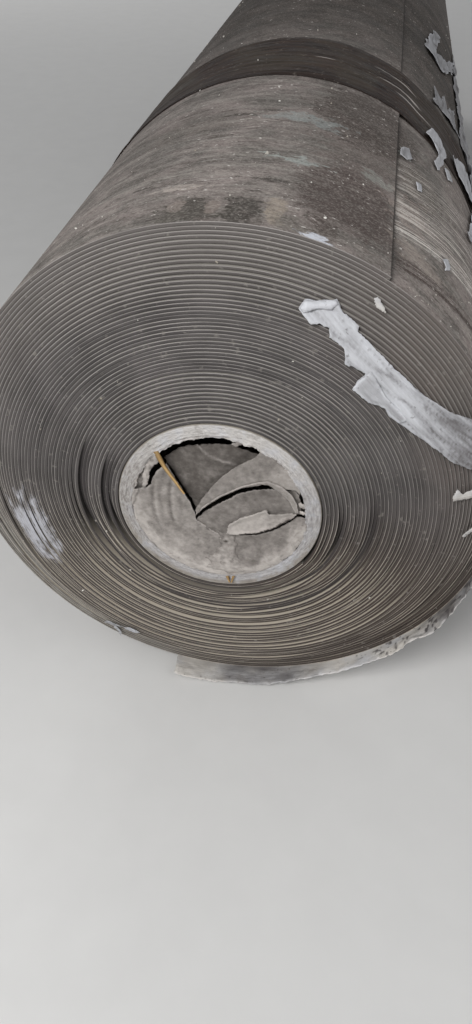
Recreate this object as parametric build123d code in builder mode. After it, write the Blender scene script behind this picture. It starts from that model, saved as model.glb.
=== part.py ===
from build123d import *
import math
import os

# Roll of single-ply PVC roofing membrane, lying on its side, in millimetres.
# X is to the right and Z is up for someone who looks along +Y at the pushed-out near end.
# The origin is on the floor, under the middle of the roll.

# The sheet and how it is wound
sheet_width = 1050.0
sheet_thickness = 1.5
turn_pitch = 1.52
turn_count = 50
lap_angle = 30.4  # the sheet's free end, clockwise from the top
full_for = 117.0  # how far round from the lap the last turn keeps its full radius

# The cardboard core
core_bore_radius = 38.0
core_wall = 6.0
core_clearance = 0.15
torn_ply = 1.2
torn_depth = 14.0

# The inner turns have slid out at the near end, and as far in at the far end
bevel_depth = 11.0
bevel_width = 29.0
core_rise = 4.3
core_rise_width = 22.0
uneven_turns = 0.45
settled_turns = 4
level_step = 0.5
turns_per_far_step = 5

# The stretch film round the roll
film_gap = 0.05
band_film = 0.25
band_start = 200.0
band_width = 84.0

# What is left of the white wrapper: a tail under the rim and a strip across the end
wrapper_film = 0.2
tail_from_angle = 104.0
tail_to_angle = 192.0
tail_tucked = 22.0
tail_shown = 12.0
strip_lift = 0.3

# The core's inner ply, torn off and folded across its mouth
ply_thickness = 1.2
ply_setback = 2.5
ply_bulge = 6.0
ply_flat_radius = 18.0
ply_folds = 20
ply_edge = 0.6
ply_clearance = 0.3
slit_width = 1.6

# Worked-out sizes
core_radius = core_bore_radius + core_wall
wound_radius = core_radius + core_clearance
roll_radius = core_radius + turn_pitch * turn_count
telescope = bevel_depth + core_rise
draw_in = sheet_thickness / (1 - math.cos(math.radians(full_for)))
axis_height = roll_radius - draw_in
tail_spare = math.degrees(film_gap / roll_radius)
ply_radius = core_bore_radius + torn_ply - ply_clearance
rim_y = -(sheet_width - telescope) / 2
beyond = 20.0

# The centre of the last turn's full part, and of all the rest, in the plane of the near rim
drawn_from = math.radians(90 - lap_angle + full_for)
last_turn_centre = (
    -draw_in * math.cos(drawn_from),
    rim_y,
    axis_height - draw_in * math.sin(drawn_from),
)
core_centre = (0, rim_y, axis_height)
turning_plane = Plane(origin=core_centre, x_dir=(0, 1, 0), z_dir=(1, 0, 0))
turning_axis = Axis(core_centre, (0, 1, 0))


def seen_from_near_end(centre, depth):
    """A plane across the roll, this far in from the near rim, with X right and up as local axes."""
    origin = (centre[0], centre[1] + depth, centre[2])
    return Plane(origin=origin, x_dir=(1, 0, 0), z_dir=(0, -1, 0))


def smooth(x):
    """Rises from 0 to 1 with level ends."""
    x = min(max(x, 0.0), 1.0)
    return x * x * (3 - 2 * x)


def proud(radius):
    """How far the edge of the turn at this radius stands out of the rim's plane."""
    bevel = bevel_depth * smooth((roll_radius - radius) / bevel_width)
    rise = max(0.0, (core_radius + core_rise_width - radius) / core_rise_width)
    return bevel + core_rise * rise


def uneven(turn):
    """No turn lies quite level with the next, apart from the settled ones inside and outside."""
    ease = smooth((turn_count - 1 - turn) / settled_turns) * smooth(turn / settled_turns)
    return ease * uneven_turns * (math.sin(2.4 * turn) + 0.5 * math.sin(5.1 * turn + 1))


def stepped_edge(turns_per_step, face_y):
    """The end's outline from the core outwards. Turns that lie level with each other share a step."""
    points = []
    for turn in range(0, turn_count, turns_per_step):
        inner = core_radius + turn * turn_pitch
        outer = inner + turns_per_step * turn_pitch
        out = proud((inner + outer) / 2) + uneven(turn)
        y = face_y - level_step * round(out / level_step)
        if not points:
            points.append((y, wound_radius))
        elif points[-1][0] != y:
            points.append((points[-1][0], inner))
            points.append((y, inner))
    points.append((points[-1][0], roll_radius + beyond))
    return points


def wound_outline(inset):
    """The roll's outside, drawn in by inset: the last turn keeps its radius for a third of the way
    round and then draws in, so that it ends in a step one sheet high."""
    outer = roll_radius - inset
    inner_centre = (draw_in * math.cos(drawn_from), draw_in * math.sin(drawn_from))
    swing = math.asin(draw_in * math.sin(math.radians(full_for)) / (outer - draw_in))
    rest = 360 - full_for - math.degrees(swing)
    with BuildSketch() as outline:
        with BuildLine():
            full = CenterArc((0, 0), outer, 90 - lap_angle, full_for)
            drawn = CenterArc(inner_centre, outer - draw_in, 90 - lap_angle + full_for, rest)
            Line(drawn @ 1, full @ 0)
        make_face()
    return outline.sketch


def ring_sector(inset, thickness, from_angle, to_angle):
    """A thin skin inside the wound outline, between two angles clockwise from the top."""
    middle = (from_angle + to_angle) / 2
    with BuildSketch() as sector:
        add(wound_outline(inset))
        add(wound_outline(inset + thickness), mode=Mode.SUBTRACT)
        with BuildLine():
            reach = [
                (2 * roll_radius * math.sin(math.radians(a)), 2 * roll_radius * math.cos(math.radians(a)))
                for a in (from_angle, middle, to_angle)
            ]
            Polyline((0, 0), *reach, close=True)
        make_face(mode=Mode.INTERSECT)
    return sector.sketch


def folded_dish(depth):
    """A solid shallow dish of flat folds that fills the core's mouth, this far behind its end."""
    with BuildPart() as dish:
        with BuildSketch(seen_from_near_end(core_centre, -telescope + depth)):
            RegularPolygon(ply_radius, ply_folds)
        extrude(amount=-(ply_bulge + ply_edge))
        flat = dish.faces().sort_by(Axis.Y)[0]
        chamfer(flat.edges(), ply_radius - ply_flat_radius, ply_bulge, reference=flat)
    return dish.part


os.makedirs("parts", exist_ok=True)

# The membrane: wound body, stepped ends, and shallow seats for the films that grip it
with BuildPart() as membrane:
    with BuildSketch(seen_from_near_end(last_turn_centre, -telescope - beyond)):
        add(wound_outline(0))
    extrude(amount=-(sheet_width + telescope + 2 * beyond))
    with BuildSketch(turning_plane):
        with BuildLine():
            near_edge = stepped_edge(1, 0)
            far_edge = stepped_edge(turns_per_far_step, sheet_width)
            Polyline(*near_edge, *reversed(far_edge), close=True)
        make_face()
    revolve(axis=turning_axis, mode=Mode.INTERSECT)
    with BuildSketch(seen_from_near_end(last_turn_centre, band_start - film_gap)):
        Circle(roll_radius + beyond)
        add(wound_outline(band_film + 2 * film_gap), mode=Mode.SUBTRACT)
    extrude(amount=-(band_width + 2 * film_gap), mode=Mode.SUBTRACT)
    with BuildSketch(seen_from_near_end(last_turn_centre, -beyond)):
        seat = (tail_from_angle - tail_spare, tail_to_angle + tail_spare)
        add(ring_sector(-film_gap, wrapper_film + 3 * film_gap, *seat))
    extrude(amount=-(beyond + tail_tucked + film_gap), mode=Mode.SUBTRACT)
membrane.part.label = "membrane"
export_step(membrane.part, "parts/membrane.step")

# The core tube, its inner ply gone from the near mouth
with BuildPart() as core_tube:
    with BuildSketch(seen_from_near_end(core_centre, -telescope)):
        Circle(core_radius)
        Circle(core_bore_radius, mode=Mode.SUBTRACT)
    extrude(amount=-sheet_width)
    with BuildSketch(seen_from_near_end(core_centre, -telescope)):
        Circle(core_bore_radius + torn_ply)
    extrude(amount=-torn_depth, mode=Mode.SUBTRACT)
core_tube.part.label = "core_tube"
export_step(core_tube.part, "parts/core_tube.step")

# The torn ply across the mouth: a shallow dish of flat folds, open along the top and slit
gap_along_top = [(-26, 24), (-14, 33), (4, 36), (20, 30), (26, 45), (-30, 45)]
slit_to_middle = [(-26, 24), (-9, -1), (-9 + slit_width, -1), (-23, 28)]
slit_to_right = [(-9, -5), (6, 6), (22, 10), (22, 10 + slit_width), (5, 6 + slit_width)]
with BuildPart() as core_paper:
    add(folded_dish(ply_setback))
    add(folded_dish(ply_setback + ply_thickness), mode=Mode.SUBTRACT)
    with BuildSketch(seen_from_near_end(core_centre, -telescope)):
        for outline in (gap_along_top, slit_to_middle, slit_to_right):
            with BuildLine():
                Polyline(*outline, close=True)
            make_face()
    extrude(amount=-torn_depth, mode=Mode.SUBTRACT)
core_paper.part.label = "core_paper"
export_step(core_paper.part, "parts/core_paper.step")

# The stretch film band
with BuildPart() as film_band:
    with BuildSketch(seen_from_near_end(last_turn_centre, band_start)):
        add(wound_outline(film_gap))
        add(wound_outline(film_gap + band_film), mode=Mode.SUBTRACT)
    extrude(amount=-band_width)
film_band.part.label = "film_band"
export_step(film_band.part, "parts/film_band.step")

# The wrapper's tail, tucked under the roll and showing in front of the rim
with BuildPart() as wrapper_tail:
    with BuildSketch(seen_from_near_end(last_turn_centre, -tail_shown)):
        add(ring_sector(film_gap, wrapper_film, tail_from_angle, tail_to_angle))
    extrude(amount=-(tail_shown + tail_tucked))
wrapper_tail.part.label = "wrapper_tail"
export_step(wrapper_tail.part, "parts/wrapper_tail.step")

# The torn strip of wrapper that lies across the stepped end
strip_outline = [
    (31, 93), (35, 96), (43, 95), (52, 85), (66, 72), (86, 56), (108, 44),
    (112, 22), (91, 35), (72, 49), (52, 62), (56, 69), (45, 78), (40, 87), (33, 90),
]
strip_back = uneven_turns * 1.5 + level_step / 2 + strip_lift
# The strip follows the bevel: how far out of the rim's plane, and how far in from the rim
strip_bends = [(bevel_depth, 45), (bevel_depth, 25), (0, 2)]
with BuildPart() as wrapper_strip:
    with BuildSketch(turning_plane):
        with BuildLine():
            under = [(-out - strip_back, roll_radius - inside) for out, inside in strip_bends]
            over = [(y - wrapper_film, r) for y, r in reversed(under)]
            Polyline(*under, *over, close=True)
        make_face()
    revolve(axis=turning_axis)
    with BuildSketch(seen_from_near_end(last_turn_centre, -telescope - beyond)):
        with BuildLine():
            Polyline(*strip_outline, close=True)
        make_face()
    extrude(amount=-(telescope + beyond), mode=Mode.INTERSECT)
wrapper_strip.part.label = "wrapper_strip"
export_step(wrapper_strip.part, "parts/wrapper_strip.step")
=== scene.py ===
import math
import random

import bmesh
import bpy
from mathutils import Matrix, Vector, geometry, noise


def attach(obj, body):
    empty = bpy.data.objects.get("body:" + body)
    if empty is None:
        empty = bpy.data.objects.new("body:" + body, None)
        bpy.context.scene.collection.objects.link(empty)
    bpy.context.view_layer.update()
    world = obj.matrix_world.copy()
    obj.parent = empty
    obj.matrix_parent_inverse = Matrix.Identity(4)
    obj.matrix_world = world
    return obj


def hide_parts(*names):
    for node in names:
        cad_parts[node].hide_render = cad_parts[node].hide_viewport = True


# Used roll of PVC roofing membrane, telescoped at the near end. Lengths are in metres. Those of the torn
# pieces, the core tube and the band's wrinkles are in millimetres, and go through MM. Angles round the
# roll are clockwise from the top, seen from the near end.

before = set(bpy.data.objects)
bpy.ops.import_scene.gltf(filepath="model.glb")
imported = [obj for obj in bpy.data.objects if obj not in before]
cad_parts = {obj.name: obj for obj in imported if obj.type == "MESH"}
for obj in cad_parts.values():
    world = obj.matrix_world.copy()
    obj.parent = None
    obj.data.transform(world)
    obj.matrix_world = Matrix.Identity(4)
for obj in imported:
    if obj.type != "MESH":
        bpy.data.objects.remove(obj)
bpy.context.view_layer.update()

MM = 0.001
FULL_TURN = 2 * math.pi
DEGREES = 180 / math.pi

# The roll
SHEET_WIDTH = 1.05
SHEET_THICKNESS = 0.0015
EDGE_ROUNDING = 0.12  # of the thickness
TURN_PITCH = 0.00152
CORE_RADIUS = 0.044
RIM_Y = -0.51735
CORE_HEIGHT = 0.118968
ROLL_RADIUS = 0.1198
ROLL_X = 0.00038
ROLL_HEIGHT = 0.11925
LAP_DEGREES = 30.4
LAP = math.radians(LAP_DEGREES)
FIRST_RADIUS = CORE_RADIUS + 0.00022
TURNS = (ROLL_RADIUS - SHEET_THICKNESS - FIRST_RADIUS) / TURN_PITCH
REACH = ROLL_RADIUS / MM  # millimetres round the outside for an angle of 1

# How far the inner turns have slid out
BEVEL_DEPTH = 0.011
BEVEL_WIDTH = 0.029
CORE_RISE = 0.0043
CORE_RISE_WIDTH = 0.022
CORE_FRONT = RIM_Y - (BEVEL_DEPTH + CORE_RISE)

# The stretch film, from the near rim
BAND_NEAR = 0.2
BAND_FAR = 0.284

# Where the photo was taken from, and how the camera was held
EYE = Vector((0.0517, -0.8128, 0.3581))
LOOKS_DOWN = 40.12
TURNED_LEFT = 8.98
SENSOR = 36
LENS = 870.5 / 1024 * SENSOR  # of the photo's 1024 pixels of height, 870.5


# Shader and geometry maths


def srgb(red, green, blue):
    """A colour as a shader takes it, from the 0 to 255 values seen on a screen."""
    seen = [c / 255 for c in (red, green, blue)]
    return (*[c / 12.92 if c <= 0.04045 else ((c + 0.055) / 1.055) ** 2.4 for c in seen], 1)


def operation(name):
    """A method of Value that adds one Math node."""

    def apply(self, *others):
        return self.tree.node("ShaderNodeMath", {"operation": name}, dict(enumerate((self, *others))))

    return apply


def flipped(name):
    """The same for a number that stands before the value."""

    def apply(self, other):
        return self.tree.node("ShaderNodeMath", {"operation": name}, {0: other, 1: self})

    return apply


class Value:
    """A node's output, which sums and products take as a number."""

    def __init__(self, tree, socket):
        self.tree, self.socket = tree, socket

    __add__, __radd__ = operation("ADD"), flipped("ADD")
    __sub__, __rsub__ = operation("SUBTRACT"), flipped("SUBTRACT")
    __mul__, __rmul__ = operation("MULTIPLY"), flipped("MULTIPLY")
    __truediv__, __pow__ = operation("DIVIDE"), operation("POWER")
    sin, cos, root = operation("SINE"), operation("COSINE"), operation("SQRT")
    fraction, floor, absolute = operation("FRACT"), operation("FLOOR"), operation("ABSOLUTE")
    most, arctan2 = operation("MAXIMUM"), operation("ARCTAN2")

    def rises(self, low, high, to_low=0.0, to_high=1.0):
        """Goes smoothly from to_low to to_high as the value goes from low to high."""
        inputs = {0: self, 1: low, 2: high, 3: to_low, 4: to_high}
        return self.tree.node("ShaderNodeMapRange", {"interpolation_type": "SMOOTHSTEP"}, inputs)

    def within(self, low, high, soft):
        """1 between low and high, and 0 outside."""
        return self.rises(low - soft, low) * (1 - self.rises(high, high + soft))

    def coat(self, share, colour):
        """This colour with another laid over it, as densely as share says."""
        return self.tree.blend(share, self, colour)

    def coats(self, *coats):
        """The same in turn for each (pattern, where it starts, where it is full, how dense, colour)."""
        under = self
        for pattern, low, high, dense, colour in coats:
            under = under.coat(pattern.rises(low, high, 0.0, dense), colour)
        return under


class Tree:
    """A node tree, of a material or of geometry."""

    def __init__(self, tree):
        self.tree = tree

    def node(self, kind, settings=None, inputs=None, output=0):
        made = self.tree.nodes.new(kind)
        for name, value in (settings or {}).items():
            setattr(made, name, value)
        for key, value in (inputs or {}).items():
            if isinstance(value, Value):
                self.tree.links.new(value.socket, made.inputs[key])
            else:
                made.inputs[key].default_value = value
        return Value(self, made.outputs[output])

    def also(self, value, output):
        """Another output of the node that value comes from."""
        return Value(self, value.socket.node.outputs[output])

    def vector(self, x=0.0, y=0.0, z=0.0):
        return self.node("ShaderNodeCombineXYZ", None, {0: x, 1: y, 2: z})

    def parts(self, vector):
        x = self.node("ShaderNodeSeparateXYZ", None, {0: vector})
        return x, self.also(x, 1), self.also(x, 2)

    def place(self):
        """The object's own coordinates."""
        return self.node("ShaderNodeTexCoord", output=3)

    def attribute(self, name, output="Fac"):
        return self.node("ShaderNodeAttribute", {"attribute_name": name}, output=output)

    def noise(self, place, scale=1.0, detail=3.0, roughness=0.55, distortion=0.0):
        inputs = {"Vector": place, "Scale": scale, "Detail": detail}
        inputs.update({"Roughness": roughness, "Distortion": distortion})
        return self.node("ShaderNodeTexNoise", None, inputs)

    def pattern(self, x, y, z=0.0, detail=3.0, roughness=0.55, distortion=0.0):
        """Noise with cells of size 1."""
        return self.noise(self.vector(x, y, z), 1.0, detail, roughness, distortion)

    def blend(self, share, a, b):
        """Colour a where share is 0 and colour b where it is 1. A plain one is as seen on a screen."""
        a, b = (colour if isinstance(colour, Value) else srgb(*colour) for colour in (a, b))
        return self.node("ShaderNodeMix", {"data_type": "RGBA"}, {0: share, 6: a, 7: b}, 2)

    def geo(self, kind, inputs=None, **settings):
        return self.node("GeometryNode" + kind, settings, inputs)

    def together(self, pieces):
        """Several geometries as one."""
        join = self.tree.nodes.new("GeometryNodeJoinGeometry")
        for piece in pieces:
            self.tree.links.new(piece.socket, join.inputs[0])
        return Value(self, join.outputs[0])


def material(name, roughness=0.6, specular=None):
    """A new material, its tree and its shader. What varies over the surface is fed in later."""
    made = bpy.data.materials.new(name)
    made.use_nodes = True
    shader = made.node_tree.nodes["Principled BSDF"]
    shader.inputs["Roughness"].default_value = roughness
    if specular is not None:
        shader.inputs["Specular IOR Level"].default_value = specular
    return made, Tree(made.node_tree), shader


def feed(tree, shader, colour, roughness=None, height=None, strength=0.5, distance=0.001, alpha=None):
    """Links what varies over the surface to the shader."""
    if height is not None:
        bump = {"Strength": strength, "Distance": distance, "Height": height}
        height = tree.node("ShaderNodeBump", None, bump)
    fed = {"Base Color": colour, "Roughness": roughness, "Alpha": alpha, "Normal": height}
    for name, value in fed.items():
        if value is not None:
            tree.tree.links.new(value.socket, shader.inputs[name])


def geometry_tree(name, sizes):
    """A geometry tree with a named input for each size, the inputs, and their values by identifier."""
    group = bpy.data.node_groups.new(name, "GeometryNodeTree")
    group.interface.new_socket("Geometry", in_out="OUTPUT", socket_type="NodeSocketGeometry")
    values = {}
    for label, size in sizes.items():
        kind = "NodeSocketInt" if isinstance(size, int) else "NodeSocketFloat"
        socket = group.interface.new_socket(label, in_out="INPUT", socket_type=kind)
        values[socket.identifier] = size
    tree = Tree(group)
    start = group.nodes.new("NodeGroupInput")
    return tree, {label: Value(tree, start.outputs[label]) for label in sizes}, values


def grown(name, tree, whole, values, finish):
    """The plain mesh that a geometry tree makes."""
    whole = tree.geo("RealizeInstances", {0: whole})
    whole = tree.geo("SetMaterial", {"Geometry": whole, "Material": finish})
    end = tree.tree.nodes.new("NodeGroupOutput")
    tree.tree.links.new(whole.socket, end.inputs[0])
    seed = bpy.data.objects.new(name + "_seed", bpy.data.meshes.new(name + "_seed"))
    bpy.context.collection.objects.link(seed)
    maker = seed.modifiers.new("maker", "NODES")
    maker.node_group = tree.tree
    for key, value in values.items():
        maker[key] = value
    depsgraph = bpy.context.evaluated_depsgraph_get()
    mesh = bpy.data.meshes.new_from_object(seed.evaluated_get(depsgraph), depsgraph=depsgraph)
    bpy.data.objects.remove(seed)
    mesh.name = name
    # it comes with an empty first material slot
    mesh.materials.clear()
    mesh.polygons.foreach_set("material_index", [0] * len(mesh.polygons))
    return shown(name, mesh, finish)


# Shapes


def smooth(x):
    """Rises from 0 to 1 with level ends."""
    x = min(max(x, 0.0), 1.0)
    return x * x * (3 - 2 * x)


def hump(x, wide, y=0.0, high=1.0):
    """1 in the middle, and small past wide and high."""
    return math.exp(-((x / wide) ** 2) - (y / high) ** 2)


def by_edge(far, reach):
    """1 at a torn edge, and 0 where it is further away than reach."""
    return smooth(1 - far / reach)


def rough(x, y, z=0.0, octaves=3):
    """Even noise between about -1 and 1."""
    return noise.fractal(Vector((x, y, z)), 1.0, 2.0, octaves)


def crumple(u, v, scale, seed):
    """The same on a surface, by its two directions."""
    return rough(u * scale, v * scale, seed)


def proud(radius):
    """How far the edges of the turns stand out of the rim's plane at this radius."""
    rise = max(0.0, (CORE_RADIUS + CORE_RISE_WIDTH - radius) / CORE_RISE_WIDTH)
    return BEVEL_DEPTH * smooth((ROLL_RADIUS - radius) / BEVEL_WIDTH) + CORE_RISE * rise


def on_roll(angle, depth, over=0.0):
    """The point this far in from the near rim, this far over the last turn's outside."""
    before_lap = ((LAP - angle) / FULL_TURN) % 1.0
    radius = ROLL_RADIUS - TURN_PITCH * before_lap + over
    x, z = radius * math.sin(angle), radius * math.cos(angle)
    return Vector((ROLL_X + x, RIM_Y + depth, ROLL_HEIGHT + z))


def shown(name, mesh, finish):
    """A mesh as an object of the scene, with its material."""
    mesh.materials.append(finish)
    made = bpy.data.objects.new(name, mesh)
    bpy.context.collection.objects.link(made)
    return made


def sides(outline):
    """Each point of a closed outline with the next one."""
    return zip(outline, outline[1:] + outline[:1])


def torn_line(points, step, ragged, seed):
    """A closed outline cut into short steps, each moved a little, as torn film has it."""
    random.seed(seed)
    edge = []
    for (u, v), (next_u, next_v) in sides(points):
        length = math.hypot(next_u - u, next_v - v)
        count = max(1, round(length / step))
        for n in range(count):
            share = n / count
            move = ragged * (random.random() - 0.5) * (0.3 if n == 0 else 1)
            off_u, off_v = -(next_v - v) / length * move, (next_u - u) / length * move
            edge.append((u + (next_u - u) * share + off_u, v + (next_v - v) * share + off_v))
    return edge


def is_inside(u, v, outline):
    odd = False
    for (u0, v0), (u1, v1) in sides(outline):
        if (v0 > v) != (v1 > v) and u < (u1 - u0) * (v - v0) / (v1 - v0) + u0:
            odd = not odd
    return odd


def from_edge(u, v, outline):
    """How far a place on a sheet is from its outline."""
    nearest = 1e9
    for (u0, v0), (u1, v1) in sides(outline):
        run, rise = u1 - u0, v1 - v0
        share = ((u - u0) * run + (v - v0) * rise) / (run * run + rise * rise)
        share = min(max(share, 0.0), 1.0)
        nearest = min(nearest, math.hypot(u - u0 - run * share, v - v0 - rise * share))
    return nearest


def torn_patch(outline, step, ragged, seed, place, tone, slant=0.0):
    """The points, faces, tones and grain of one torn sheet, from its flat outline."""
    edge = torn_line(outline, step, ragged, seed)
    low_u, low_v = min(u for u, _ in edge), min(v for _, v in edge)
    high_u, high_v = max(u for u, _ in edge), max(v for _, v in edge)
    inner = []
    for row in range(int((high_v - low_v) / step) + 1):
        for column in range(int((high_u - low_u) / step) + 1):
            u = low_u + (column + 0.5 * (row % 2)) * step + random.uniform(-0.2, 0.2) * step
            v = low_v + row * step + random.uniform(-0.2, 0.2) * step
            if is_inside(u, v, edge) and from_edge(u, v, edge) > 0.45 * step:
                inner.append((u, v))
    flat = [Vector(point) for point in edge + inner]
    points, _, faces, *_ = geometry.delaunay_2d_cdt(flat, [], [list(range(len(edge)))], 1, 1e-6)
    away = [from_edge(u, v, outline) for u, v in points]
    places = [place(u, v, far) for (u, v), far in zip(points, away)]
    tones = [tone(u, v, far) for (u, v), far in zip(points, away)]
    c, s = math.cos(slant), math.sin(slant)
    grain = [(u * c + v * s, v * c - u * s, seed) for u, v in points]
    return places, [list(face) for face in faces], tones, grain


def joined(name, patches, finish, thickness=0.0):
    """One piece from several patches of (points, faces, tones, grain), given a thickness behind."""
    points, faces, tones, grain = [], [], [], []
    for some_points, some_faces, some_tones, some_grain in patches:
        faces += [[i + len(points) for i in face] for face in some_faces]
        points += some_points
        tones += some_tones
        grain += some_grain
    mesh = bpy.data.meshes.new(name)
    mesh.from_pydata(points, [], faces)
    mesh.attributes.new("tone", "FLOAT", "POINT").data.foreach_set("value", tones)
    flat = [n for triple in grain for n in triple]
    mesh.attributes.new("grain", "FLOAT_VECTOR", "POINT").data.foreach_set("vector", flat)
    mesh.shade_smooth()
    made = shown(name, mesh, finish)
    if thickness:
        wall = made.modifiers.new("thickness", "SOLIDIFY")
        wall.thickness = thickness
        wall.offset = -1
    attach(made, "root")
    return made


def closed_shell(name, rows, columns, place, finish):
    """A surface closed both round its section and round the roll's axis."""
    points = [place(i, j) for i in range(rows) for j in range(columns)]
    faces = []
    for i in range(rows):
        for j in range(columns):
            a, b = i * columns, (i + 1) % rows * columns
            k = (j + 1) % columns
            faces.append((a + j, a + k, b + k, b + j))
    mesh = bpy.data.meshes.new(name)
    mesh.from_pydata(points, [], faces)
    shape = bmesh.new()
    shape.from_mesh(mesh)
    bmesh.ops.recalc_face_normals(shape, faces=shape.faces)
    shape.to_mesh(mesh)
    shape.free()
    made = shown(name, mesh, finish)
    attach(made, "root")
    return made


# The floor, the light and the camera


def add_stage():
    bpy.ops.mesh.primitive_plane_add(size=12, location=(0, 0, 0))
    floor = bpy.context.object
    floor.name = "floor"
    made, tree, shader = material("pale floor", 0.8)
    grain = tree.noise(tree.place(), 40.0, 4.0)
    feed(tree, shader, tree.blend(grain, (206, 205, 203), (214, 213, 211)))
    floor.data.materials.append(made)
    world = bpy.data.worlds.new("pale surround")
    bpy.context.scene.world = world
    world.use_nodes = True
    background = world.node_tree.nodes["Background"].inputs
    background["Color"].default_value = (0.9, 0.92, 0.95, 1)
    background["Strength"].default_value = 0.3


def add_lamp(name, place, aim, size, power, glare=True):
    lamp = bpy.data.lights.new(name, "AREA")
    lamp.shape = "DISK"
    lamp.size = size
    lamp.energy = power
    carrier = bpy.data.objects.new(name, lamp)
    bpy.context.collection.objects.link(carrier)
    carrier.visible_glossy = glare
    carrier.location = place
    carrier.rotation_euler = (Vector(aim) - Vector(place)).to_track_quat("-Z", "Y").to_euler()


def add_camera():
    camera = bpy.data.cameras.new("camera")
    camera.sensor_width = SENSOR
    camera.lens = LENS
    carrier = bpy.data.objects.new("camera", camera)
    bpy.context.collection.objects.link(carrier)
    carrier.location = EYE
    carrier.rotation_euler = (math.radians(90 - LOOKS_DOWN), 0, math.radians(TURNED_LEFT))
    bpy.context.scene.camera = carrier


add_stage()
add_lamp("key light", (-0.28, -1.2, 0.82), (0, -0.45, 0.12), 0.45, 8.2)
add_lamp("fill light", (1.2, -0.8, 0.8), (0, -0.2, 0.12), 1.2, 5)
add_lamp("back light", (-1.3, 2.0, 1.3), (0, 0.35, 0.12), 1.4, 17, glare=False)
add_camera()
bpy.context.scene.view_settings.view_transform = "Standard"


# The wound sheet

# Loose turns that have sunk back: from angle, to angle, inner radius, outer radius, how far
SUNK_TURNS = [
    (222.0, 282.0, 0.0492, 0.0528, 0.0018),
    (170.0, 250.0, 0.0478, 0.0502, 0.0016),
    (240.0, 282.0, 0.0608, 0.0640, 0.0016),
    (150.0, 250.0, 0.0622, 0.0646, 0.0016),
    (95.0, 160.0, 0.0668, 0.0690, 0.0014),
    (100.0, 150.0, 0.0545, 0.0566, 0.0014),
]
PAIRED = 2.36  # turns from one that lies further out to the next
OUTSIDE_TURNS = 1.01  # what of the sheet shows on the outside


def middle_of_sheet(turn, angle, radius):
    """Where the middle of the sheet's thickness runs. Inwards its centre moves to the core's."""
    inwards = turn / TURNS
    x = radius * angle.sin() + ROLL_X * (1 - inwards)
    z = radius * angle.cos() + ROLL_HEIGHT + (CORE_HEIGHT - ROLL_HEIGHT) * inwards
    return x, z


def sheet_run(tree, inputs, first, last, points, slices):
    """One stretch of the wound sheet, from turn first to turn last, both counted back from the free end."""
    pitch, thickness, width = inputs["Pitch"], inputs["Thickness"], inputs["Width"]
    line = tree.geo("ResampleCurve", {"Curve": tree.geo("CurvePrimitiveLine"), "Count": points})
    along = tree.geo("SplineParameter")
    outer = inputs["Outer radius"] - thickness / 2
    from_radius = outer - pitch * first
    to_radius = outer - pitch * last
    start, end = from_radius * from_radius, to_radius * to_radius
    radius = (start + along * (end - start)).root()
    turn = (outer - radius) / pitch
    angle = LAP - turn * FULL_TURN
    # near the core a turn stays round and then steps up over the sheet's start
    inside = inputs["Turns"] - turn
    share = inside.fraction()
    flat = (share - share.rises(0.93, 1.0)) * inside.rises(0.0, 9.0, 1.0, 0.0)
    radius = radius - pitch * flat * 0.9
    kept = tree.tree.nodes.new("GeometryNodeCaptureAttribute")
    for name in ("Turn", "Angle", "Radius"):
        kept.capture_items.new("FLOAT", name)
    for number, value in enumerate((line, turn, angle, radius)):
        tree.tree.links.new(value.socket, kept.inputs[number])
    line, turn, angle, radius = (Value(tree, kept.outputs[i]) for i in range(4))
    x, z = middle_of_sheet(turn, angle, radius)
    line = tree.geo("SetPosition", {"Geometry": line, "Position": tree.vector(x, 0.0, z)})
    section = tree.geo("CurvePrimitiveQuadrilateral", {"Width": width, "Height": thickness})
    corners = {"Curve": section, "Radius": thickness * EDGE_ROUNDING, "Limit Radius": True, "Count": 1}
    section = tree.geo("FilletCurve", corners, mode="POLY")
    if slices:
        section = tree.geo("SubdivideCurve", {"Curve": section, "Cuts": slices})
    run = tree.geo("CurveToMesh", {"Curve": line, "Profile Curve": section, "Fill Caps": True})
    at_x, _, at_z = tree.parts(tree.geo("InputPosition"))
    across = ((at_x - x) * angle.sin() + (at_z - z) * angle.cos()) / thickness + 0.5
    return run, turn, angle, radius, across


def sunk_there(turn, backwards, start, stop, inner, outer):
    """1 for the turns between two radii, from start to stop in degrees. Backwards is anticlockwise."""
    around = 360 - (backwards / 360).fraction() * 360
    first, last = ((ROLL_RADIUS - radius) / TURN_PITCH for radius in (outer, inner))
    return around.within(start, stop, 22.0) * turn.floor().within(first, last, 0.8)


def slid_out(tree, turn, angle, radius):
    """How far this place of the wound sheet has slid out of the rim's plane."""
    bevel = (ROLL_RADIUS - radius).rises(0.0, BEVEL_WIDTH, 0.0, BEVEL_DEPTH)
    rise = ((CORE_RADIUS + CORE_RISE_WIDTH - radius) / CORE_RISE_WIDTH).most(0.0) * CORE_RISE
    settled = turn.rises(0.0, 3.0) * (TURNS - turn).rises(0.0, 3.0)
    below = angle.cos().rises(-0.45, 0.35, 1.0, 0.0)
    by_turn = tree.pattern(turn * 0.83, 0.0, 0.0, 2.0) - 0.5
    by_place = tree.pattern(angle.cos() * 0.7, angle.sin() * 0.7, turn * 0.21, 2.0) - 0.5
    uneven = by_turn * (below * 0.0030 + 0.0012) + by_place * 0.0024
    # under the core turns lie in twos and threes, one of them further out
    level = radius.within(0.068, 0.094, 0.006)
    swing = ((turn / PAIRED + by_place * 1.2) * FULL_TURN).sin()
    uneven = uneven + swing * below * (0.00085 - level * 0.00045)
    backwards = angle * -DEGREES
    for *where, sunk in SUNK_TURNS:
        uneven = uneven - sunk_there(turn, backwards, *where) * sunk
    return bevel + rise + uneven * settled


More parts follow.
